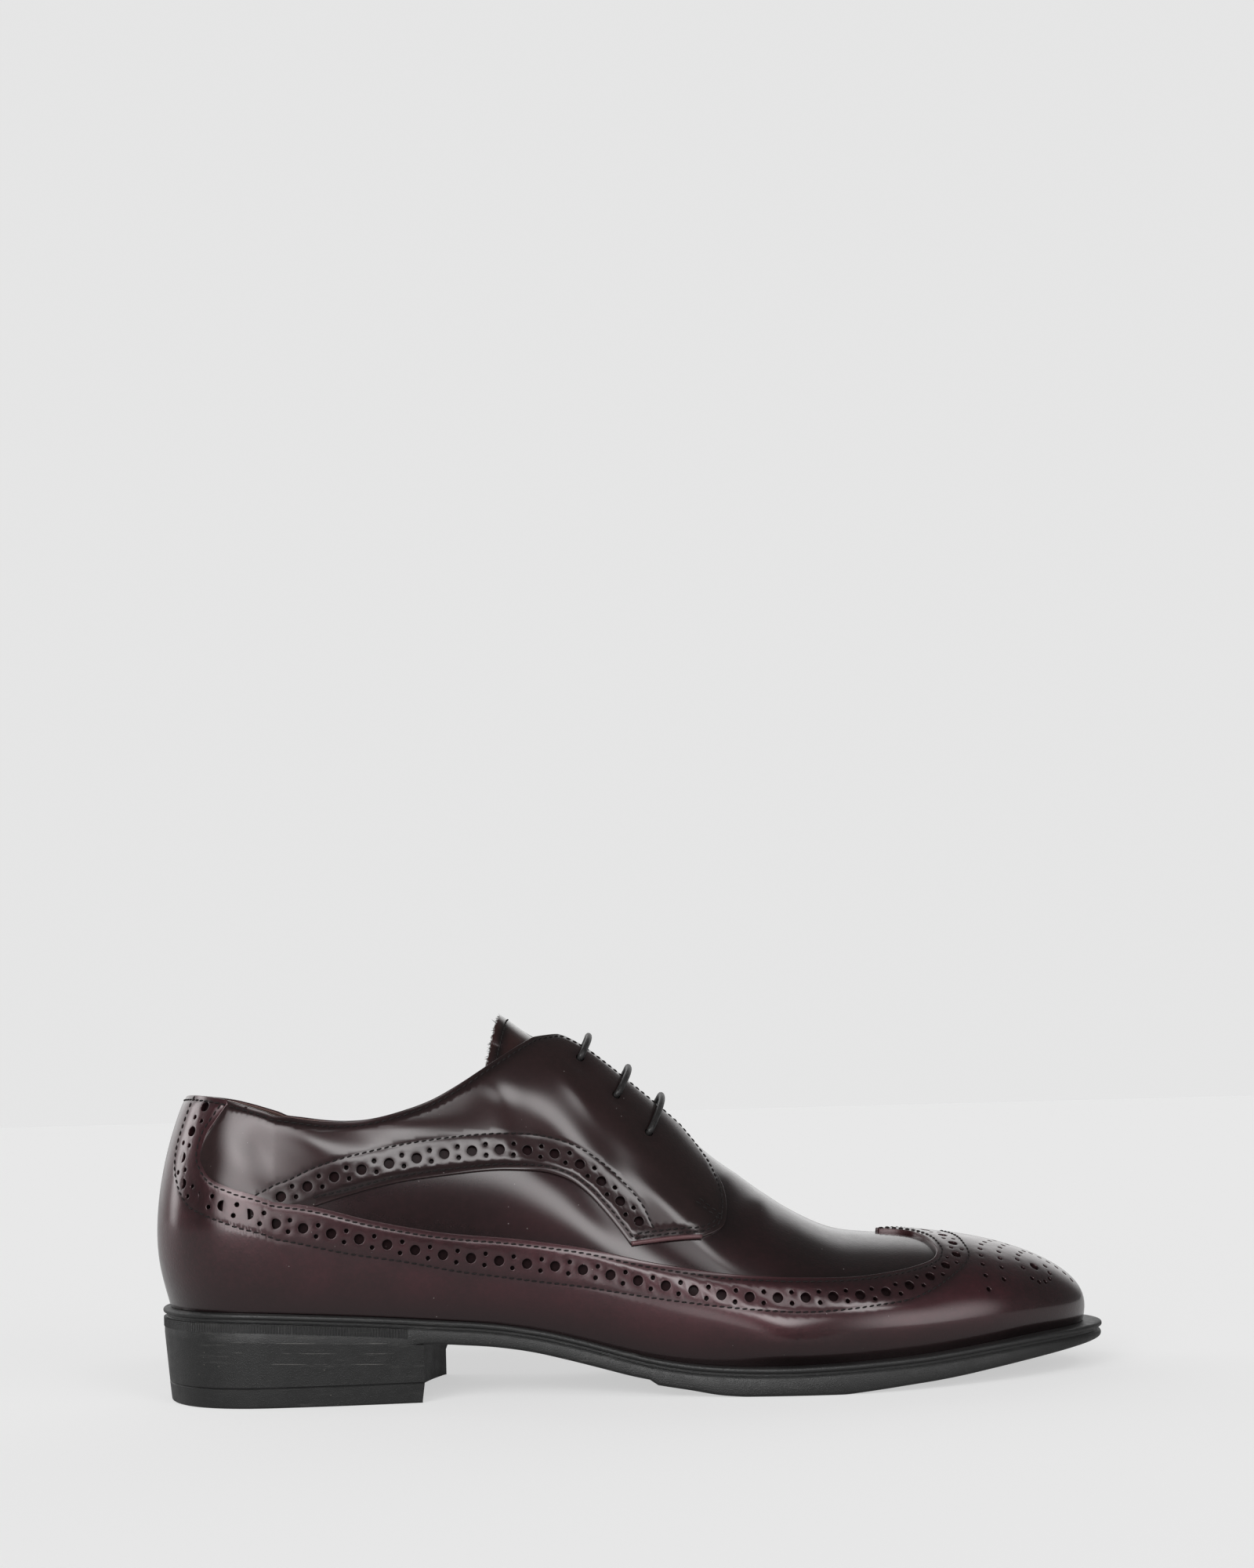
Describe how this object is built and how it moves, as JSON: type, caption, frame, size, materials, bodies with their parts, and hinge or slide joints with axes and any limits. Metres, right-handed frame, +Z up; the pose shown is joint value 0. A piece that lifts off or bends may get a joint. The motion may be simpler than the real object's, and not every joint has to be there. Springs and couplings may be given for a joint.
{
  "type": "longwing brogue derby shoe",
  "caption": "Longwing brogue dress shoe with open lacing: a hollow leather upper with a pointed wing cap, a raw-topped tongue, a thin round lace and a stepped rubber unit sole with a low heel.",
  "frame": {"origin": "on the floor, under the middle of the heel, on the shoe's long axis", "axes": "+X from the heel to the toe, +Y to the shoe's inner side, +Z up"},
  "size_m": [0.3063, 0.1017, 0.1192],
  "materials": {
    "upper_leather": "polished calf leather, dark burgundy brown, burnished darker at seams and welt",
    "tongue_leather": "polished leather with a raw cut top edge",
    "sock_leather": "plain matt lining leather over board",
    "sole_rubber": "satin black moulded rubber",
    "lace_cord": "waxed round cord"
  },
  "bodies": {
    "root": {"outsole": "sole_rubber", "heel_block": "sole_rubber", "top_lift": "sole_rubber", "insole": "sock_leather", "upper": "upper_leather", "wing": "upper_leather", "quarter_lateral": "upper_leather", "quarter_medial": "upper_leather", "tongue": "tongue_leather", "lace_bar_top": "lace_cord", "lace_bar_middle": "lace_cord", "lace_bar_low": "lace_cord"}
  },
  "joints": []
}
